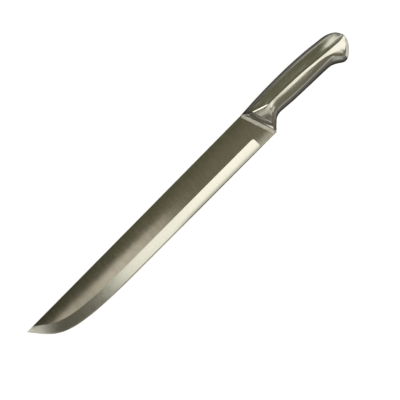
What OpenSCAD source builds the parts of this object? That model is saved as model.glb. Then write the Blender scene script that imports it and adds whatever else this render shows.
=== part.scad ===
// Kitchen knife with a wide ground bevel and a hollow handle of two pressed and welded halves.
// It lies on its right side: +X to the butt, +Y to the spine, +Z up out of the left side.
// Each piece is drawn about the knife's own lines, and place() then sets it down. Those lines are
// x = 0 where the handle's front crosses its middle, y = 0 on the spine, z = 0 inside the blade.

/* [Blade] */
// Length of the blade, from the tip to the middle of the handle's front
blade_len = 304; // [240:1:340]
// Depth of the blade at the heel
blade_w = 36.5; // [32:0.1:42]
// Thickness of the blade
blade_t = 2; // [2:0.1:2.6]
// Length over which the edge sweeps up to the tip
belly_len = 115; // [80:1:150]
// How much less deep the blade is where that sweep starts
edge_taper = 1; // [0:0.1:3]
// Angle between the spine and the edge at the tip
tip_angle = 52; // [40:1:65]

/* [Grind] */
// Width of the ground bevel
bevel_w = 12; // [8:0.2:16]
// Distance from the bevel to the middle of the handle's front
heel_gap = 13.2; // [10:0.2:25]
// Radius of the bevel's corner at the heel
corner_r = 2.4; // [1:0.1:5]
// Width of the honed strip along the edge
honed_w = 1.2; // [0.6:0.1:2.4]
// Thickness of the blade where the honed strip starts
honed_t = 0.5; // [0.3:0.05:0.8]
// Thickness of the cutting edge itself
edge_t = 0.1; // [0.05:0.05:0.25]

/* [Tang] */
// Thickness of the tang and of the bed under each fillet weld
tang_t = 1.7; // [1:0.1:1.9]
// Length of the tang behind the middle of the handle's front
tang_len = 34; // [26:1:38]
// Depth of the tang
tang_w = 15; // [12:0.5:17]
// Diameter of the tang's keying holes
tang_hole_d = 5; // [3:0.5:7]

/* [Handle] */
// Length of the handle, from the middle of its front to the butt
handle_len = 119.5; // [105:0.5:135]
// Depth of the grip behind the guard
grip_w = 28.4; // [25:0.2:33]
// Depth of the pommel at its hook
pommel_w = 33.4; // [30:0.2:40]
// Thickness of the guard at its crest
guard_t = 13; // [12:0.2:20]
// Thickness of the grip
grip_t = 20; // [16:0.2:26]
// Thickness of the pommel
pommel_t = 21.4; // [16:0.2:28]
// Angle by which the handle's front leans back from square
front_angle = 18.4; // [5:0.2:30]
// Wall of the pressed halves
wall = 1.2; // [0.8:0.1:1.6]

/* [Welds] */
// Width of the weld along the seam
seam_w = 1.6; // [1:0.1:2.2]
// Depth of the weld along the seam
seam_d = 0.7; // [0.4:0.05:0.75]
// Width of the fillet weld on the blade
fillet_w = 3; // [1.5:0.1:5]

/* [Hidden] */
$fn = 48;

// Room between the tang and the inside of the handle's mouth
mouth_clear = 0.25;
// How far a cut runs past what it cuts
overrun = 3;
// Points along the swept edge
edge_steps = 36;
// Sections between two stations of the handle
span_steps = 4;

function mix(a, b, t) = a + (b - a) * t;
function unit(v) = v / norm(v);
function lift(p, z) = [p[0], p[1], z];
function mirrored(p) = [p[0], p[1], -p[2]];
function slice(v, first, last) = [for (i = [first:last]) v[i]];

// A point of the cubic curve through the first and last of four points
function bezier(p, t) =
    pow(1 - t, 3) * p[0] + 3 * t * pow(1 - t, 2) * p[1] + 3 * t * t * (1 - t) * p[2] + pow(t, 3) * p[3];

// A point between p[i] and p[i + 1] of a smooth line through all of p
function spline(p, i, t) =
    let (a = p[i - 1], b = p[i], c = p[i + 1], d = p[i + 2])
    b + (c - a + (2 * a - 5 * b + 4 * c - d + (3 * (b - c) + d - a) * t) * t) * t / 2;

// The faces between two closed loops of m points, whose first points are number a and number b
function band(m, a, b) =
    [for (j = [0:m - 1]) let (k = (j + 1) % m) each [[a + j, b + j, b + k], [a + j, b + k, a + k]]];

// A solid through closed loops that all have the same number of points. Seen along the way that the
// loops follow, each one's points run clockwise, and its first point sees all the others
module loft(loops) {
    m = len(loops[0]);
    n = len(loops);
    sides = [for (i = [0:n - 2]) each band(m, i * m, (i + 1) * m)];
    caps = [for (j = [1:m - 2]) each [[0, j, j + 1], [(n - 1) * m, (n - 1) * m + j + 1, (n - 1) * m + j]]];
    polyhedron([for (loop = loops) each loop], concat(sides, caps));
}

// The slanted line on which the handle starts crosses x = 0 at this share of the blade's depth
front_share = 0.37;
slant = tan(front_angle);
front_mid = -blade_w * front_share;
function front_x(y) = -slant * (y - front_mid);
front_up = unit([-slant, 1]);
front_out = unit([-1, -slant]);

// The edge: straight from the heel, then one sweep that keeps its two directions for these shares
// of the sweep's length and of the blade's depth
sweep_share = 0.81;
tip_share = 0.89;
tip = [-blade_len, 0];
heel = [front_x(-blade_w), -blade_w];
belly_start = [-blade_len + belly_len, -blade_w + edge_taper];
edge_dir = unit(belly_start - heel);
sweep = [belly_start, belly_start + edge_dir * belly_len * sweep_share,
         tip + [cos(tip_angle), -sin(tip_angle)] * blade_w * tip_share, tip];
edge = concat([heel], [for (i = [0:edge_steps]) bezier(sweep, i / edge_steps)]);

// The wheel runs along the edge and past both its ends. Its cut narrows over the last of the sweep
// by this share, with this power
narrow_share = 0.62;
narrow_power = 5;
wheel_path = concat([heel - edge_dir * overrun], edge, [tip + unit(tip - sweep[2]) * blade_w]);
function wheel_share(i) = 1 - narrow_share * pow(max(0, min(1, (i - 2) / edge_steps)), narrow_power);
function wheel_inward(i) =
    let (d = unit(wheel_path[min(i + 1, len(wheel_path) - 1)] - wheel_path[max(i - 1, 0)])) [d[1], -d[0]];

// What the wheels take off the left side: the bevel, and a steeper honed strip along the edge
honed_rise = (honed_t - edge_t) / 2 / honed_w;
module wheel_cut() {
    loft([for (i = [0:len(wheel_path) - 1])
        let (p = wheel_path[i], n = wheel_inward(i), w = bevel_w * wheel_share(i),
             top = blade_t / 2 + overrun * (blade_t - honed_t) / 2 / (w - honed_w))
        [lift(p - n * overrun, top), lift(p + n * (w + overrun), top), lift(p + n * honed_w, honed_t / 2),
         lift(p - n * overrun, edge_t / 2 - overrun * honed_rise)]]);
}

// Where the wheels may cut: up to the heel, with a round corner at the top of the bevel
module ground_area() {
    corner = [-heel_gap - corner_r, -blade_w + bevel_w - corner_r];
    union() {
        translate([-2 * blade_len, -2 * blade_w]) square([2 * blade_len + corner[0], 3 * blade_w]);
        translate([-2 * blade_len, -2 * blade_w]) square([2 * blade_len - heel_gap, 2 * blade_w + corner[1]]);
        translate(corner) circle(corner_r);
    }
}

module ground_off() {
    intersection() {
        wheel_cut();
        translate([0, 0, -overrun]) linear_extrude(2 * overrun + blade_t) ground_area();
    }
}

// The handle's stations from front to butt. Each is a list of seven points of the left half: seam on
// the back, shoulder below it, ridge, two points of the lower facet, shoulder, seam on the underside.
// A point is given as its place along the handle, its height as a share of the depth there, and its
// share of the way from the seam's edge out to the full half thickness there.
seam_half = seam_w / 2;
lip_half = blade_t / 2 + wall + mouth_clear;
function station(depth, half, shares) =
    [for (s = shares) [s[0] * handle_len, s[1] * depth, mix(seam_half, half, s[2])]];

lip_shares = [[0, 0.004, 0], [0, -0.045, 0.85], [0, -0.152, 1], [0, -0.42, 1],
              [0, -0.68, 1], [0, -0.855, 0.85], [0, -0.97, 0]];
crest_shares = [[-0.008, 0.01, 0], [0.007, -0.071, 0.6], [0.025, -0.155, 0.96], [0.048, -0.435, 1],
                [0.078, -0.728, 0.85], [0.075, -0.868, 0.4], [0.074, -0.955, 0]];
throat_shares = [[0.075, 0.03, 0], [0.092, -0.07, 0.55], [0.134, -0.388, 0.96], [0.132, -0.563, 0.92],
                 [0.125, -0.768, 0.8], [0.116, -0.94, 0.54], [0.11, -1.078, 0]];
neck_shares = [[0.176, 0.046, 0], [0.184, -0.06, 0.62], [0.205, -0.416, 0.99], [0.202, -0.518, 0.94],
               [0.197, -0.626, 0.84], [0.188, -0.745, 0.68], [0.18, -0.888, 0]];
grip_front_shares = [[0.335, 0.052, 0], [0.335, -0.053, 0.63], [0.335, -0.43, 1], [0.335, -0.54, 0.95],
                     [0.335, -0.655, 0.84], [0.335, -0.775, 0.67], [0.335, -0.93, 0]];
grip_middle_shares = [[0.519, 0.036, 0], [0.519, -0.071, 0.63], [0.519, -0.465, 1], [0.519, -0.575, 0.95],
                      [0.519, -0.687, 0.84], [0.519, -0.804, 0.67], [0.519, -0.962, 0]];
grip_rear_shares = [[0.686, -0.01, 0], [0.686, -0.117, 0.63], [0.686, -0.54, 1], [0.686, -0.628, 0.948],
                    [0.686, -0.718, 0.84], [0.686, -0.808, 0.67], [0.686, -0.987, 0]];
crook_shares = [[0.77, -0.05, 0], [0.77, -0.155, 0.59], [0.762, -0.572, 0.96], [0.762, -0.692, 0.9],
                [0.762, -0.742, 0.845], [0.762, -0.805, 0.745], [0.757, -1.01, 0]];
swoop_shares = [[0.829, -0.066, 0], [0.829, -0.156, 0.59], [0.823, -0.5, 1], [0.816, -0.66, 0.91],
                [0.812, -0.692, 0.868], [0.809, -0.727, 0.8], [0.804, -0.925, 0]];
hook_shares = [[0.875, -0.088, 0], [0.873, -0.18, 0.57], [0.87, -0.502, 1], [0.868, -0.717, 0.89],
               [0.868, -0.823, 0.8], [0.871, -0.93, 0.65], [0.872, -1.069, 0]];
swell_shares = [[0.916, -0.127, 0], [0.914, -0.214, 0.55], [0.912, -0.506, 0.97], [0.914, -0.71, 0.89],
                [0.917, -0.788, 0.82], [0.921, -0.848, 0.68], [0.926, -0.999, 0]];
turn_shares = [[0.956, -0.196, 0], [0.951, -0.275, 0.5], [0.952, -0.497, 0.89], [0.955, -0.62, 0.84],
               [0.958, -0.678, 0.78], [0.962, -0.73, 0.65], [0.967, -0.862, 0]];
end_shares = [[0.984, -0.296, 0], [0.981, -0.347, 0.38], [0.983, -0.476, 0.72], [0.984, -0.521, 0.69],
              [0.986, -0.572, 0.62], [0.988, -0.625, 0.5], [0.993, -0.695, 0]];
butt_share = -0.467;

// The front station lies on the slanted line, and all the guides meet at the butt
lip = [for (p = station(blade_w, lip_half, lip_shares)) [front_x(p[1]), p[1], p[2]]];
butt = [handle_len, butt_share * pommel_w, seam_half];
stations = [
    station(blade_w, guard_t / 2, crest_shares), station(grip_w, grip_t / 2, throat_shares),
    station(grip_w, grip_t / 2, neck_shares), station(grip_w, grip_t / 2, grip_front_shares),
    station(grip_w, grip_t / 2, grip_middle_shares), station(grip_w, grip_t / 2, grip_rear_shares),
    station(grip_w, pommel_t / 2, crook_shares), station(pommel_w, pommel_t / 2, swoop_shares),
    station(pommel_w, pommel_t / 2, hook_shares), station(pommel_w, pommel_t / 2, swell_shares),
    station(pommel_w, pommel_t / 2, turn_shares), station(pommel_w, pommel_t / 2, end_shares),
    [for (i = [0:6]) butt]];
spans = len(stations) - 1;
guides = concat([2 * stations[0] - stations[1]], stations,
                [[for (p = stations[spans - 1]) [p[0], 2 * butt[1] - p[1], 2 * butt[2] - p[2]]]]);

// The front rises from the lip to the crest in a hollow sweep of this power
hollow_power = 1.35;
function front_section(t) = [for (i = [0:6])
    let (a = lip[i], b = stations[0][i]) lift(mix(a, b, t), mix(a[2], b[2], pow(t, hollow_power)))];

// A section's ten points: the seven guides, one point that rounds each edge, and one in the upper facet,
// which is dished by a share of its width
round_share = 0.3;
bulge_share = 0.44;
dish_share = 0.018;
function rounded(a, b) = lift(mix(a, b, round_share), mix(a[2], b[2], bulge_share));
function dished(a, b) = mix(a, b, 0.5) - [0, 0, norm(b - a) * dish_share];
function section(g) = [g[0], rounded(g[0], g[1]), g[1], dished(g[1], g[2]), g[2], g[3], g[4], g[5],
                       rounded(g[6], g[5]), g[6]];
skin = concat([for (k = [0:span_steps - 1]) section(front_section(k / span_steps))],
              [for (i = [1:spans], k = [0:span_steps - 1]) section(spline(guides, i, k / span_steps))]);
last_ring = len(skin) - 1;
last_point = len(skin[0]) - 1;

// The rim runs along the back, round the butt and forward along the underside
rim = concat([for (s = skin) s[0]], [butt], [for (i = [last_ring:-1:0]) skin[i][last_point]]);
function rim_inward(i) =
    i == 0 ? -front_up : i == len(rim) - 1 ? front_up :
    let (d = unit(rim[i + 1] - rim[i - 1])) [d[1], -d[0]];
function inset(depth) = [for (i = [0:len(rim) - 1]) lift(rim[i] + lift(rim_inward(i), 0) * depth, 0)];
weld_root = inset(seam_d);
inner_rim = inset(wall);

// The inside lies one wall in from the skin, square to it, and in the slanted plane at the front
function across(v) = v - lift(front_out, 0) * (v * lift(front_out, 0));
function skin_out(i, j) =
    let (next = i == last_ring ? butt : skin[i + 1][j], before = skin[max(i - 1, 0)][j],
         n = cross(skin[i][j + 1] - skin[i][j - 1], next - before))
    unit(i == 0 ? across(n) : n);
inside = [for (i = [0:last_ring])
    concat([inner_rim[i]], [for (j = [1:last_point - 1]) skin[i][j] - skin_out(i, j) * wall],
           [inner_rim[len(rim) - 1 - i]])];

// One half of the handle. A loop goes over the skin from weld root to weld root and back inside
module half_shell() {
    m = 2 * len(skin[0]) + 2;
    loops = [for (i = [0:last_ring])
        concat([weld_root[i]], skin[i], [weld_root[len(rim) - 1 - i]],
               [for (j = [last_point:-1:0]) inside[i][j]])];
    ends = [butt, weld_root[last_ring + 1], inner_rim[last_ring + 1]];
    function end_of(j) = (last_ring + 1) * m + (j == 0 || j == last_point + 2 ? 1 : j < last_point + 2 ? 0 : 2);
    sides = [for (i = [0:last_ring - 1]) each band(m, i * m, (i + 1) * m)];
    mouth = [[0, 1, m - 1], [last_point + 1, last_point + 2, last_point + 3],
             for (j = [1:last_point]) each [[j, j + 1, m - 1 - j], [j, m - 1 - j, m - j]]];
    nose = [for (j = [0:m - 1]) let (k = (j + 1) % m, a = last_ring * m + j, b = last_ring * m + k)
        each end_of(j) == end_of(k) ? [[a, end_of(j), b]] : [[a, end_of(j), end_of(k)], [a, end_of(k), b]]];
    polyhedron(concat([for (loop = loops) each loop], ends), concat(sides, mouth, nose));
}

// A stretch of the weld along the rim
module seam_weld(first, last) {
    loft([for (i = [first:last])
        [lift(rim[i], 0), lift(rim[i], seam_half), weld_root[i], lift(rim[i], -seam_half)]]);
}

// The fillet weld runs along the lip, in a shallow bed on the blade's left side
fillet_bulge_share = 0.12;
fillet_lip = slice(skin[0], 1, last_point - 1);
function fillet_foot(p, z) = lift(p + lift(front_out, 0) * fillet_w, z);
module fillet_weld() {
    loft([for (p = fillet_lip)
        let (foot = fillet_foot(p, blade_t / 2), bulge = [0, 0, p[2] - foot[2]] * fillet_bulge_share)
        [p, mix(foot, p, 0.5) + bulge, foot, lift(foot, tang_t / 2), lift(p, tang_t / 2)]]);
}

module weld_bed() {
    first = fillet_lip[0];
    last = fillet_lip[len(fillet_lip) - 1];
    past = lift(-front_out * overrun, 0);
    corners = [fillet_foot(first, 0), first + past, last + past, fillet_foot(last, 0)];
    translate([0, 0, tang_t / 2]) linear_extrude(blade_t) polygon([for (p = corners) [p[0], p[1]]]);
}

// The tang lies in the middle of the neck
neck = stations[2];
tang_mid = (neck[0][1] + neck[6][1]) / 2;
tang_start = front_x(tang_mid + tang_w / 2) - overrun;
hole_shares = [0.4, 0.78];
module tang_blank() {
    difference() {
        translate([tang_start, tang_mid - tang_w / 2]) square([tang_len - tang_start, tang_w]);
        for (share = hole_shares) translate([tang_len * share, tang_mid]) circle(d = tang_hole_d);
    }
}

module tang() {
    translate([0, 0, -tang_t / 2]) linear_extrude(tang_t) tang_blank();
}

module blade_blank() {
    polygon(concat([[front_x(0), 0]], [for (i = [len(edge) - 1:-1:0]) edge[i]]));
}

// The potting fills the handle from its mouth to the front of the grip
potting_ring = 4 * span_steps;

// The knife's box, from which place() puts its bottom centre at the origin
half_t = max([for (s = skin, p = s) p[2]]);
back_y = max(0, max([for (p = rim) p[1]]));
low_y = min(-blade_w, min([for (p = rim) p[1]]));
module place() {
    translate([(blade_len - handle_len) / 2, -(back_y + low_y) / 2, half_t]) children();
}

module blade() {
    color("silver") place() difference() {
        union() {
            translate([0, 0, -blade_t / 2]) linear_extrude(blade_t) blade_blank();
            tang();
        }
        for (side = [0, 1]) mirror([0, 0, side]) {
            ground_off();
            weld_bed();
        }
    }
}

module left_handle_shell() {
    color("gainsboro") place() half_shell();
}

module right_handle_shell() {
    color("gainsboro") place() mirror([0, 0, 1]) half_shell();
}

butt_weld_ring = 10 * span_steps;
module spine_seam_weld() {
    color("darkgray") place() seam_weld(0, butt_weld_ring);
}

module butt_seam_weld() {
    color("gray") place() seam_weld(butt_weld_ring, len(rim) - 1 - butt_weld_ring);
}

module belly_seam_weld() {
    color("darkgray") place() seam_weld(len(rim) - 1 - butt_weld_ring, len(rim) - 1);
}

module left_bolster_weld() {
    color("lightgray") place() fillet_weld();
}

module right_bolster_weld() {
    color("lightgray") place() mirror([0, 0, 1]) fillet_weld();
}

module tang_potting() {
    color("tan") place() difference() {
        loft([for (i = [0:potting_ring])
            concat(inside[i], [for (j = [last_point - 1:-1:1]) mirrored(inside[i][j])])]);
        tang();
    }
}

blade();
left_handle_shell();
right_handle_shell();
spine_seam_weld();
belly_seam_weld();
butt_seam_weld();
left_bolster_weld();
right_bolster_weld();
tang_potting();
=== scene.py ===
import math

import bmesh
import bpy
from mathutils import Matrix, Vector


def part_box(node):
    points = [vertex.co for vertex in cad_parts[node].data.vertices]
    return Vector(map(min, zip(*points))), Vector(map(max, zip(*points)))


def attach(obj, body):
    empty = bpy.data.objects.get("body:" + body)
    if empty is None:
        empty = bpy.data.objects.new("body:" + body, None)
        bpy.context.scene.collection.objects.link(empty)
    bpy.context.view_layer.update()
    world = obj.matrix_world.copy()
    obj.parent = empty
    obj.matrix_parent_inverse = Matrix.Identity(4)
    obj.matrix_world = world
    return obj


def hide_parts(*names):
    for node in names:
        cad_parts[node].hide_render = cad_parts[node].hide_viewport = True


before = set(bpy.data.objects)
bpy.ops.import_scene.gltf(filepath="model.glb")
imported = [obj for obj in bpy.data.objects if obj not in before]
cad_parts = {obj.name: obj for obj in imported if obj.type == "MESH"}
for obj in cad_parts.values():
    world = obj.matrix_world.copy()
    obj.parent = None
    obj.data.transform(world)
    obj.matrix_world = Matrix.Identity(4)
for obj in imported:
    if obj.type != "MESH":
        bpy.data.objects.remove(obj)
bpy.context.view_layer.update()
mm = 0.001

# The knife lies along X with its butt at +X, its spine at +Y and its left side up
bladeLow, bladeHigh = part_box("blade")
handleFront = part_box("left_handle_shell")[0].x
midPlane = (bladeLow.z + bladeHigh.z) / 2
tipX = bladeLow.x


# Small helpers for working as by hand

meshCopy = {
    "mergeWithin": 0.002 * mm,
    "pairBend": 70,          # degrees that a pair of triangles may be bent and still become one face
    "pairSkew": 120,         # degrees that the pair's corners may be out of square
}
fullCrease = 1.0


def makeActive(piece):
    bpy.ops.object.select_all(action="DESELECT")
    piece.select_set(True)
    bpy.context.view_layer.objects.active = piece


def startEditing(piece, action="DESELECT"):
    makeActive(piece)
    bpy.ops.object.mode_set(mode="EDIT")
    bpy.ops.mesh.select_all(action=action)


def stopEditing():
    bpy.ops.object.mode_set(mode="OBJECT")


def copyOfNode(node, name):
    # a loose copy of a CAD node's mesh, with its doubles merged
    piece = bpy.data.objects.new(name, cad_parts[node].data.copy())
    piece.data.name = name
    piece.data.materials.clear()
    bpy.context.scene.collection.objects.link(piece)
    startEditing(piece, "SELECT")
    bpy.ops.mesh.remove_doubles(threshold=meshCopy["mergeWithin"])
    stopEditing()
    return piece


def pairTriangles(piece):
    startEditing(piece, "SELECT")
    bpy.ops.mesh.tris_convert_to_quads(face_threshold=math.radians(meshCopy["pairBend"]),
                                       shape_threshold=math.radians(meshCopy["pairSkew"]))
    stopEditing()


def selectEdges(piece, test):
    # selects the edges for which test(edge, angle between its two faces) holds, and says if there are any
    bpy.ops.mesh.select_mode(type="EDGE")
    bpy.ops.mesh.select_all(action="DESELECT")
    mesh = bmesh.from_edit_mesh(piece.data)
    picked = [edge for edge in mesh.edges if test(edge, math.degrees(edge.calc_face_angle(0)))]
    for edge in picked:
        edge.select = True
    bmesh.update_edit_mesh(piece.data)
    return bool(picked)


def creaseBetween(piece, crease, low, high=math.inf):
    # creases the edges whose faces meet at more than low and at most high degrees
    if selectEdges(piece, lambda edge, angle: low < angle <= high):
        bpy.ops.transform.edge_crease(value=crease)


def markCrisp(piece, test):
    if selectEdges(piece, test):
        bpy.ops.mesh.mark_sharp()
        bpy.ops.transform.edge_crease(value=fullCrease)


def addSubdivision(piece, levels):
    modifier = piece.modifiers.new("smooth", "SUBSURF")
    modifier.levels = modifier.render_levels = levels
    modifier.boundary_smooth = "PRESERVE_CORNERS"


def shareBetween(value, start, end):
    # 0 up to the start, 1 from the end on
    return min(1, max(0, (value - start) / (end - start)))


def standIn(piece, node):
    # every piece rides on the knife's one body, in place of its CAD node
    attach(piece, "root")
    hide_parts(node)


def finishPiece(piece, node, shape, material):
    makeActive(piece)
    for modifier in list(piece.modifiers):
        bpy.ops.object.modifier_apply(modifier=modifier.name)
    bpy.ops.object.shade_smooth_by_angle(angle=math.radians(shape["smoothTo"]))
    piece.data.materials.append(materials[material])
    standIn(piece, node)


# Small helpers for materials

white = (1, 1, 1, 1)
noiseKinds = {
    "streaks": {"Detail": 4.0, "Roughness": 0.6},
    "clouds": {"Detail": 3.0, "Roughness": 0.55},
}
mixSockets = {"FLOAT": (2, 3, 0), "RGBA": (6, 7, 2)}      # a Mix node's two values and its result


def setInputs(tree, node, values):
    # links a value that is another node's output, and sets any other
    for name, value in values.items():
        if isinstance(value, bpy.types.NodeSocket):
            tree.links.new(value, node.inputs[name])
        else:
            node.inputs[name].default_value = value


def addNode(tree, kind, values=None, **settings):
    node = tree.nodes.new(kind)
    for name, value in settings.items():
        setattr(node, name, value)
    setInputs(tree, node, values or {})
    return node


def emptyMaterial(name):
    material = bpy.data.materials.new(name)
    material.use_nodes = True
    material.node_tree.nodes.clear()
    return material


def calculate(tree, operation, *values):
    return addNode(tree, "ShaderNodeMath", dict(enumerate(values)), operation=operation).outputs["Value"]


def multiply(tree, first, second):
    return calculate(tree, "MULTIPLY", first, second)


def scaled(tree, colour, factor):
    node = addNode(tree, "ShaderNodeVectorMath", {0: colour, "Scale": factor}, operation="SCALE")
    return node.outputs["Vector"]


def mix(tree, kind, factor, first, second):
    # the first where the factor is 0, and the second where it is 1
    firstIn, secondIn, result = mixSockets[kind]
    values = {0: factor, firstIn: first, secondIn: second}
    return addNode(tree, "ShaderNodeMix", values, data_type=kind).outputs[result]


def mapRange(tree, source, low, high, start=0.0, end=1.0, kind="LINEAR"):
    # goes from low to high as the source goes from start to end
    values = {"Value": source, "From Min": start, "From Max": end, "To Min": low, "To Max": high}
    return addNode(tree, "ShaderNodeMapRange", values, interpolation_type=kind).outputs["Result"]


def spread(tree, noise, share, middle=1.0):
    # the middle, give or take a share of it
    return mapRange(tree, noise, middle * (1 - share), middle * (1 + share))


def axisOf(tree, coords, axis):
    return addNode(tree, "ShaderNodeSeparateXYZ", {"Vector": coords}).outputs[axis]


def fromMiddle(tree, coords):
    # the distance from the knife's mid-plane
    return calculate(tree, "ABSOLUTE", calculate(tree, "SUBTRACT", axisOf(tree, coords, "Z"), midPlane))


def noiseOver(tree, coords, counts, kind):
    stretched = addNode(tree, "ShaderNodeMapping", {"Vector": coords, "Scale": counts}).outputs["Vector"]
    values = {"Vector": stretched, "Scale": 1.0, **noiseKinds[kind]}
    return addNode(tree, "ShaderNodeTexNoise", values).outputs["Fac"]


# Steel finishes. Colours are linear, streaks and clouds are counts per metre, and their tones are shares.
# Stretch is anisotropy, grain is the strength of the bumps, and glance is the tint at a glancing angle

finishes = {
    "bladeFlat": dict(colour=(0.60, 0.575, 0.49), rough=0.12, stretch=0.95, streaks=(500, 110, 60),
                      streakTone=0.12, clouds=140, cloudTone=0.15, grain=0.10),
    "bladeGround": dict(colour=(0.64, 0.632, 0.545), rough=0.14, stretch=0.9, streaks=(600, 110, 60),
                        streakTone=0.08, clouds=30, cloudTone=0.05, grain=0.08),
    "bladeHoned": dict(colour=(0.82, 0.81, 0.72), rough=0.25, stretch=0.6, streaks=(900, 60, 60),
                       streakTone=0.2, clouds=30, cloudTone=0.05, grain=0.1),
    "handleSatin": dict(colour=(0.62, 0.605, 0.53), rough=0.2, stretch=0.3, streaks=(60, 700, 700),
                        streakTone=0.10, clouds=45, cloudTone=0.08, grain=0.12, glance=(0.4, 0.4, 0.4, 1)),
    "weldBead": dict(colour=(1.0, 0.98, 0.86), rough=0.4, stretch=0.0, streaks=(900, 900, 900),
                     streakTone=0.08, clouds=200, cloudTone=0.08, grain=0.5, metal=0.9),
    "seamGround": dict(colour=(0.10, 0.095, 0.08), rough=0.35, stretch=0.3, streaks=(60, 900, 900),
                       streakTone=0.2, clouds=60, cloudTone=0.1, grain=0.2),
}
roughSpread = {"streaks": 0.15, "clouds": 0.1}      # shares by which the noises change the roughness
grainDepth = 0.05 * mm

# The handle's steep flanks get painted shade, darker toward the seam
flankShadeLook = {
    "spine": (0.42, 0.57), "belly": (0.58, 0.68),   # how far a flank leans, from 0 for level to 1 for upright
    "turn": (-0.15, 0.15),                  # leans over which the belly's flank becomes the spine's
    "gripTurn": 0.6, "hookTurn": -0.5,      # what a lean toward the butt adds to the belly's lean
    "hookFrom": 196 * mm,                   # where the pommel turns up, its flank stays light
    "backLean": 0.3, "backWithin": 2.6 * mm,        # this close to the seam all of the back counts as flank
    "seamAt": 0.8 * mm, "seam": 0.03,       # the tones at two distances from the mid-plane
    "shoulderAt": 6.8 * mm, "shoulder": 0.3,
}
# The bevel gets painted shade, darker toward the edge over its heel half
edgeShadeLook = {
    "edgeAt": 0.05 * mm, "edge": 0.42,      # the tones at two distances from the mid-plane
    "shadedAt": 0.25 * mm, "shaded": 0.62,
    "clearAt": 0.5 * mm,                    # and where the steel has its full tone again
    "from": -45 * mm, "full": -10 * mm,     # places along the blade
}


def flankShadeTone(tree, coords):
    # painted shade on the handle's flanks, darkest at the seam; the attribute holds each vertex's share of it
    look = flankShadeLook
    flank = addNode(tree, "ShaderNodeAttribute", attribute_name="flank").outputs["Fac"]
    root = mapRange(tree, fromMiddle(tree, coords), math.sqrt(look["seam"]), math.sqrt(look["shoulder"]),
                    look["seamAt"], look["shoulderAt"])
    return mix(tree, "FLOAT", flank, 1.0, multiply(tree, root, root))


def edgeShadeTone(tree, coords):
    # painted shade on the bevel, darkening toward the edge
    look = edgeShadeLook
    away = fromMiddle(tree, coords)
    shaded = mapRange(tree, away, look["shaded"], 1.0, look["shadedAt"], look["clearAt"], "SMOOTHSTEP")
    edge = mapRange(tree, away, look["edge"] / look["shaded"], 1.0, look["edgeAt"], look["shadedAt"])
    heel = mapRange(tree, axisOf(tree, coords, "X"), 0.0, 1.0, look["from"], look["full"], "SMOOTHSTEP")
    return mix(tree, "FLOAT", heel, 1.0, multiply(tree, shaded, edge))


paintedShades = {"handleSatin": flankShadeTone, "bladeGround": edgeShadeTone, "bladeHoned": edgeShadeTone}


def steel(name):
    finish = finishes[name]
    material = emptyMaterial(name)
    tree = material.node_tree
    coords = addNode(tree, "ShaderNodeTexCoord").outputs["Object"]
    streaks = noiseOver(tree, coords, finish["streaks"], "streaks")
    clouds = noiseOver(tree, coords, (finish["clouds"],) * 3, "clouds")
    tone = multiply(tree, spread(tree, streaks, finish["streakTone"]),
                    spread(tree, clouds, finish["cloudTone"]))
    # the handle's flanks and the bevel's edge take painted shade on top
    if name in paintedShades:
        tone = multiply(tree, tone, paintedShades[name](tree, coords))
    rough = multiply(tree, spread(tree, streaks, roughSpread["streaks"], finish["rough"]),
                     spread(tree, clouds, roughSpread["clouds"]))
    bump = addNode(tree, "ShaderNodeBump",
                   {"Height": streaks, "Strength": finish["grain"], "Distance": grainDepth})
    shader = addNode(tree, "ShaderNodeBsdfPrincipled", {
        "Base Color": scaled(tree, finish["colour"], tone),
        "Metallic": finish.get("metal", 1.0),
        "Roughness": rough,
        "Specular Tint": finish.get("glance", white),
        "Anisotropic": finish["stretch"],
        "Tangent": addNode(tree, "ShaderNodeCombineXYZ", {"X": 1.0}).outputs["Vector"],
        "Normal": bump.outputs["Normal"],
    })
    addNode(tree, "ShaderNodeOutputMaterial", {"Surface": shader.outputs["BSDF"]})
    return material


materials = {name: steel(name) for name in finishes}
print("steel finishes done")


# The blade

bladeFinishes = ("bladeFlat", "bladeGround", "bladeHoned")
bladeShape = {
    "sameFace": 0.02,        # degrees within which neighbouring triangles are one face
    "flatWithin": 0.5,       # degrees off level that still count as the flat
    "groundWithin": 30,      # degrees off level that still count as ground
    "honedWithin": 0.32 * mm,       # of the mid-plane: ground faces centred there are the honed strip
    "squarePast": 60,        # degrees at an edge past which it is a square corner
    "spineWithin": 0.05 * mm,       # of the top of the spine
    "level": 0.9999,         # how far up the normal of a quite level face points
    "spineRound": 0.22 * mm, "spineSteps": 3,
    "sharpPast": 3.2,        # degrees at an edge past which the shading breaks
    "fanWithin": 14 * mm,    # of the tip: the bevel's narrow faces there shade as one
}


def finishOf(face, centre):
    lean = math.degrees(math.acos(min(1, abs(face.normal.z))))
    if not bladeShape["flatWithin"] < lean < bladeShape["groundWithin"]:
        return "bladeFlat"
    return "bladeHoned" if abs(centre.z - midPlane) < bladeShape["honedWithin"] else "bladeGround"


def isSpineCorner(edge, angle):
    # only where the flat meets the spine, in front of the handle
    highEnough = bladeHigh.y - bladeShape["spineWithin"]
    return (angle > bladeShape["squarePast"]
            and all(vertex.co.y > highEnough and vertex.co.x < handleFront for vertex in edge.verts)
            and max(abs(face.normal.z) for face in edge.link_faces) > bladeShape["level"])


def breaksShading(edge, angle):
    if angle <= bladeShape["sharpPast"]:
        return False
    nearTip = min(vertex.co.x for vertex in edge.verts) < tipX + bladeShape["fanWithin"]
    return not (nearTip and all(finishOf(face, face.calc_center_median()) == "bladeGround"
                                for face in edge.link_faces))


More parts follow.
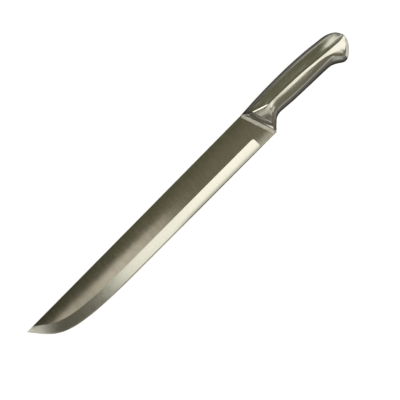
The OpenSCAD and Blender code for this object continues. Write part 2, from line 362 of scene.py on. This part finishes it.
def makeBlade():
    piece = copyOfNode("blade", "bladeSteel")
    startEditing(piece, "SELECT")
    bpy.ops.mesh.dissolve_limited(angle_limit=math.radians(bladeShape["sameFace"]),
                                  use_dissolve_boundaries=False)
    selectEdges(piece, isSpineCorner)
    bpy.ops.mesh.bevel(offset=bladeShape["spineRound"], segments=bladeShape["spineSteps"], affect="EDGES")
    selectEdges(piece, breaksShading)
    bpy.ops.mesh.mark_sharp()
    stopEditing()
    for name in bladeFinishes:
        piece.data.materials.append(materials[name])
    for face in piece.data.polygons:
        face.use_smooth = True
        face.material_index = bladeFinishes.index(finishOf(face, face.center))
    standIn(piece, "blade")


makeBlade()
print("blade done")


# The handle's two halves, rounded over from the CAD halves

handleShape = {
    "crispPast": 9.5, "crispCrease": 0.9,       # degrees at an edge past which it is crisp
    "ridgePast": 15, "ridgeCrease": 0.65,       # past which it is a ridge or a shoulder, pressed rounder
    "rimPast": 50,                              # and past which it is a rim
    "footPast": 6, "footTo": 104 * mm,          # the slanted front's foot lies before this place
    "pommelFrom": 165 * mm, "pommelMost": 18,   # past here the lower facets meet sharply, up to this angle
    "levels": 2, "smoothTo": 40,
    "outward": 0.5,                             # how far out the normal of an outer face points
    "upperLean": 0.15, "lowerLean": -0.5,       # least lean of the upper facet, and most of the lower one
    "swellFrom": 178 * mm, "swellFull": 188 * mm,       # the upper facet swells softly toward the butt
    "slideFrom": 192 * mm, "slideFull": 204 * mm,
    "swell": 0.043, "slide": 0.3,               # as shares of the facet's lower and upper halves
}


def leansOf(vertex):
    # how far each outer face at the vertex leans toward the spine, with -1 for an inner face
    side = math.copysign(1, vertex.co.z - midPlane)
    return [face.normal.y if face.normal.z * side > handleShape["outward"] else -1
            for face in vertex.link_faces]


def isRung(edge, angle):
    # crosses the upper facet's lower half, from the ridge to a vertex that only upper faces share
    low, high = sorted(edge.verts, key=lambda vertex: vertex.co.y)
    if low.co.x < handleShape["swellFrom"] or abs(high.co.x - low.co.x) > high.co.y - low.co.y:
        return False
    upper, lower = handleShape["upperLean"], handleShape["lowerLean"]
    return min(leansOf(high)) > upper and lower < min(leansOf(low)) < 0 and max(leansOf(low)) > upper


def isPommelLine(edge, angle):
    # where the lower facets meet
    return (handleShape["crispPast"] < angle <= handleShape["pommelMost"]
            and min(vertex.co.x for vertex in edge.verts) > handleShape["pommelFrom"]
            and max(face.normal.y for face in edge.link_faces) < 0)


def isFrontFoot(edge, angle):
    # an inner corner that runs more across the knife than along it
    first, second = edge.verts
    return (angle > handleShape["footPast"] and not edge.is_convex
            and max(first.co.x, second.co.x) < handleShape["footTo"]
            and abs(first.co.y - second.co.y) > abs(first.co.x - second.co.x))


def swellPommel(piece):
    # slides the rungs' upper ends toward the shoulder, then raises their new middles
    def grown(vertex, what):
        return handleShape[what] * shareBetween(
            vertex.co.x, handleShape[what + "From"], handleShape[what + "Full"])

    before = len(piece.data.vertices)
    startEditing(piece)
    selectEdges(piece, isRung)
    mesh = bmesh.from_edit_mesh(piece.data)
    for edge in [edge for edge in mesh.edges if edge.select]:
        high = max(edge.verts, key=lambda vertex: vertex.co.y)
        shoulder = max((other.other_vert(high) for other in high.link_edges), key=lambda vertex: vertex.co.y)
        high.co = high.co.lerp(shoulder.co, grown(high, "slide"))
    bmesh.update_edit_mesh(piece.data)
    bpy.ops.mesh.subdivide(number_cuts=1)
    mesh = bmesh.from_edit_mesh(piece.data)
    mesh.verts.ensure_lookup_table()
    for vertex in mesh.verts[before:]:
        rung = 2 * max(abs(edge.verts[0].co.y - edge.verts[1].co.y) for edge in vertex.link_edges)
        vertex.co.z += math.copysign(rung * grown(vertex, "swell"), vertex.co.z - midPlane)
    bmesh.update_edit_mesh(piece.data)
    stopEditing()


def flankShadeShare(vertex):
    # each vertex's share of the flanks' painted shade
    # the front's hollow doesn't count, so a lean toward the blade is left out
    look = flankShadeLook
    if vertex.normal.y > look["backLean"] and abs(vertex.co.z - midPlane) < look["backWithin"]:
        return 1
    toButt = max(vertex.normal.x, 0)
    added = toButt * (look["hookTurn"] if vertex.co.x > look["hookFrom"] else look["gripTurn"])
    spine = shareBetween(math.hypot(toButt, vertex.normal.y), *look["spine"])
    belly = shareBetween(added - vertex.normal.y, *look["belly"])
    return belly + (spine - belly) * shareBetween(vertex.normal.y, *look["turn"])


def markFlankShade(piece):
    # writes each vertex's share of painted shade as an attribute
    flank = piece.data.attributes.new("flank", "FLOAT", "POINT")
    for index, vertex in enumerate(piece.data.vertices):
        flank.data[index].value = flankShadeShare(vertex)


def makeShell(node, name):
    shape = handleShape
    piece = copyOfNode(node, name)
    pairTriangles(piece)
    swellPommel(piece)
    startEditing(piece)
    markCrisp(piece, isPommelLine)
    markCrisp(piece, isFrontFoot)
    creaseBetween(piece, shape["crispCrease"], shape["crispPast"], shape["ridgePast"])
    creaseBetween(piece, shape["ridgeCrease"], shape["ridgePast"], shape["rimPast"])
    creaseBetween(piece, fullCrease, shape["rimPast"])
    stopEditing()
    addSubdivision(piece, shape["levels"])
    finishPiece(piece, node, shape, "handleSatin")
    markFlankShade(piece)


for side in ("left", "right"):
    makeShell(side + "_handle_shell", side + "HandleShell")
print("handle shells done")


# The welds: three ground seams, and a granular bead on each side of the blade

seamShape = {"rimPast": 30, "levels": 2, "smoothTo": 40}
beadShape = {
    "rimPast": 30, "levels": 5, "smoothTo": 60,
    "grainSize": 0.55 * mm, "grains": 0.22 * mm,
    "waveSize": 5 * mm, "wave": 0.9 * mm,
}


def softCopy(node, name, shape):
    piece = copyOfNode(node, name)
    pairTriangles(piece)
    startEditing(piece)
    creaseBetween(piece, fullCrease, shape["rimPast"])
    stopEditing()
    addSubdivision(piece, shape["levels"])
    return piece


def addDisplace(piece, name, size, strength, direction):
    clouds = bpy.data.textures.new(name, "CLOUDS")
    clouds.noise_scale = size
    modifier = piece.modifiers.new(name, "DISPLACE")
    modifier.texture = clouds
    modifier.texture_coords = "LOCAL"
    modifier.direction = direction
    modifier.strength = strength


def makeSeam(node, name):
    piece = softCopy(node, name, seamShape)
    finishPiece(piece, node, seamShape, "seamGround")


def makeBead(node, name):
    piece = softCopy(node, name, beadShape)
    addDisplace(piece, "grains", beadShape["grainSize"], beadShape["grains"], "Z")
    addDisplace(piece, "wave", beadShape["waveSize"], beadShape["wave"], "X")
    finishPiece(piece, node, beadShape, "weldBead")


for place in ("spine", "belly", "butt"):
    makeSeam(place + "_seam_weld", place + "Seam")
for side in ("left", "right"):
    makeBead(side + "_bolster_weld", side + "BolsterBead")
print("welds done")


# The potting round the tang keeps its CAD form

pottingLook = {
    "dark": (0.42, 0.33, 0.22, 1), "light": (0.62, 0.52, 0.38, 1),
    "speckles": (900, 900, 900),        # counts per metre
    "rough": (0.55, 0.75), "specular": 0.35,
}


def pottingResin():
    material = bpy.data.materials.new("pottingResin")
    material.use_nodes = True
    tree = material.node_tree
    coords = addNode(tree, "ShaderNodeTexCoord").outputs["Object"]
    speckle = noiseOver(tree, coords, pottingLook["speckles"], "clouds")
    setInputs(tree, tree.nodes["Principled BSDF"], {
        "Base Color": mix(tree, "RGBA", speckle, pottingLook["dark"], pottingLook["light"]),
        "Roughness": mapRange(tree, speckle, *pottingLook["rough"]),
        "Specular IOR Level": pottingLook["specular"],
    })
    return material


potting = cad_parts["tang_potting"]
potting.data.materials.clear()
potting.data.materials.append(pottingResin())
print("potting done")


# The camera looks straight down, as in the photograph

cameraView = {
    "place": Vector((-0.36, -12.18, 410.75)) * mm,
    "turn": -45.38,          # degrees about Z
    "focus": 408.2,          # pixels of the photograph
    "photoSide": 400,        # the photograph's side in pixels
    "sensor": 36,            # width in millimetres, as Blender takes it
    "clipStart": 10 * mm,
}


def makeCamera():
    data = bpy.data.cameras.new("camera")
    data.sensor_width = cameraView["sensor"]
    data.lens = cameraView["sensor"] * cameraView["focus"] / cameraView["photoSide"]
    data.clip_start = cameraView["clipStart"]
    camera = bpy.data.objects.new("camera", data)
    camera.location = cameraView["place"]
    camera.rotation_euler = (0, 0, math.radians(cameraView["turn"]))
    bpy.context.scene.collection.objects.link(camera)
    bpy.context.scene.camera = camera


makeCamera()


# The floor slopes so that the knife rests on its tip and its handle

floorShape = {
    "side": 8.0,
    "pastTip": 20 * mm,      # only what is farther back than this counts for the slope
    "gap": 0.1 * mm,         # under the knife
    "colour": (0.84, 0.85, 0.87, 1),
    "lift": 0.69,            # glow that lifts it to white for the camera and in reflections
}


def paleFloor():
    material = emptyMaterial("paleFloor")
    tree = material.node_tree
    rays = addNode(tree, "ShaderNodeLightPath").outputs
    seen = rays["Is Camera Ray"]
    for kind in ("Is Glossy Ray", "Is Transmission Ray"):
        seen = calculate(tree, "MAXIMUM", seen, rays[kind])
    lift = mapRange(tree, seen, 0, floorShape["lift"])
    matt = addNode(tree, "ShaderNodeBsdfDiffuse", {"Color": floorShape["colour"]}).outputs["BSDF"]
    glow = addNode(tree, "ShaderNodeEmission", {"Color": white, "Strength": lift}).outputs["Emission"]
    both = addNode(tree, "ShaderNodeAddShader", {0: matt, 1: glow}).outputs["Shader"]
    addNode(tree, "ShaderNodeOutputMaterial", {"Surface": both})
    return material


def makeFloor():
    tip = min((vertex.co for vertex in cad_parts["blade"].data.vertices), key=lambda co: co.x)
    slope = min((vertex.co.z - tip.z) / (vertex.co.x - tip.x)
                for node in ("right_handle_shell", "blade")
                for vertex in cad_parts[node].data.vertices
                if vertex.co.x > tip.x + floorShape["pastTip"])
    height = tip.z - slope * tip.x - floorShape["gap"]
    bpy.ops.object.select_all(action="DESELECT")
    bpy.ops.mesh.primitive_plane_add(size=floorShape["side"], location=(0, 0, height),
                                     rotation=(0, -math.atan(slope), 0))
    floor = bpy.context.object
    floor.name = "floor"
    floor.data.materials.append(paleFloor())


makeFloor()


# Soft boxes one metre up, under a dim ceiling. Places are in metres

softBoxes = {
    "broadGuard": dict(x=(-0.06, 0.42), y=(-0.17, -0.1), brightness=1.35),
    "guardLow": dict(x=(-0.06, 0.42), y=(-0.37, -0.17), brightness=0.42),
    "broadGrip": dict(x=(0.42, 2.4), y=(-0.44, -0.095), brightness=1.4),
    "broadPommel": dict(x=(0.73, 3.4), y=(-0.8, -0.44), brightness=1.3),
    "broadTip": dict(x=(-0.41, -0.06), y=(-0.18, -0.112), brightness=1.28),
    "bead": dict(x=(-1.1, -0.3), y=(-0.85, -0.46), brightness=1.32),
    "glow": dict(x=(0.1, 1.9), y=(-0.095, -0.014), brightness=0.4),
    "bandHeel": dict(x=(-0.235, -0.12), y=(-0.01, 0.041), brightness=0.43),
    "bandMiddle": dict(x=(-0.3, -0.235), y=(-0.01, 0.043), brightness=0.58),
    "bandBelly": dict(x=(-0.47, -0.3), y=(-0.01, 0.043), brightness=0.65),
    "bandFar": dict(x=(-0.56, -0.47), y=(-0.01, 0.045), brightness=0.33),
    "bandTip": dict(x=(-0.75, -0.56), y=(-0.01, 0.05), brightness=0.58),
    "tip": dict(x=(-1.35, -0.86), y=(-0.094, -0.02), brightness=0.98),
    "tipEdge": dict(x=(-1.35, -0.98), y=(-0.28, -0.094), brightness=1.1),
    "ridge": dict(x=(-0.15, 0.22), y=(0.15, 0.65), brightness=2.4),
    "butt": dict(x=(0.83, 3.2), y=(0.89, 1.5), brightness=1.12, turn=28),      # degrees about its corner
    "buttLow": dict(x=(0.92, 1.7), y=(0.3, 0.88), brightness=0.2),
}
boxHeight = 1.0
boxColour = (1.0, 1.0, 0.98)
bandColour = (1.0, 0.955, 0.87)


def makeLight():
    for name, box in softBoxes.items():
        data = bpy.data.lights.new(name, "AREA")
        data.shape = "RECTANGLE"
        data.size = box["x"][1] - box["x"][0]
        data.size_y = box["y"][1] - box["y"][0]
        data.energy = box["brightness"] * math.pi * data.size * data.size_y
        data.color = bandColour if name.startswith("band") else boxColour
        turn = Matrix.Rotation(math.radians(box.get("turn", 0)), 3, "Z")
        corner = Vector((box["x"][0], box["y"][0], boxHeight))
        lamp = bpy.data.objects.new(name, data)
        lamp.location = corner + turn @ Vector((data.size / 2, data.size_y / 2, 0))
        lamp.rotation_euler = turn.to_euler()
        bpy.context.scene.collection.objects.link(lamp)


# Each pair is how far a direction leans where a tone starts and where it is full
sky = {
    "wall": white, "ceilingFrom": (0.14, 0.36),         # upward
    "grey": (0.205, 0.19, 0.145, 1), "olive": (0.12, 0.12, 0.072, 1),
    "oliveFrom": (0.03, 0.075),                         # toward the spine's side
    "dim": 0.43, "brightFrom": (-0.5, 0.0),             # toward the butt, as the room is dimmer past the tip
}


def makeSky():
    world = bpy.data.worlds.new("studio")
    bpy.context.scene.world = world
    world.use_nodes = True
    tree = world.node_tree
    direction = addNode(tree, "ShaderNodeTexCoord").outputs["Generated"]

    def grows(axis, ends, low=0, high=1):
        return mapRange(tree, axisOf(tree, direction, axis), low, high, *ends, "SMOOTHSTEP")

    ceiling = mix(tree, "RGBA", grows("Y", sky["oliveFrom"]), sky["grey"], sky["olive"])
    room = mix(tree, "RGBA", grows("Z", sky["ceilingFrom"]), sky["wall"], ceiling)
    dimmed = scaled(tree, room, grows("X", sky["brightFrom"], sky["dim"]))
    setInputs(tree, tree.nodes["Background"], {"Color": dimmed})


makeLight()
makeSky()
bpy.context.scene.view_settings.view_transform = "Standard"
print("stage, camera and light done")
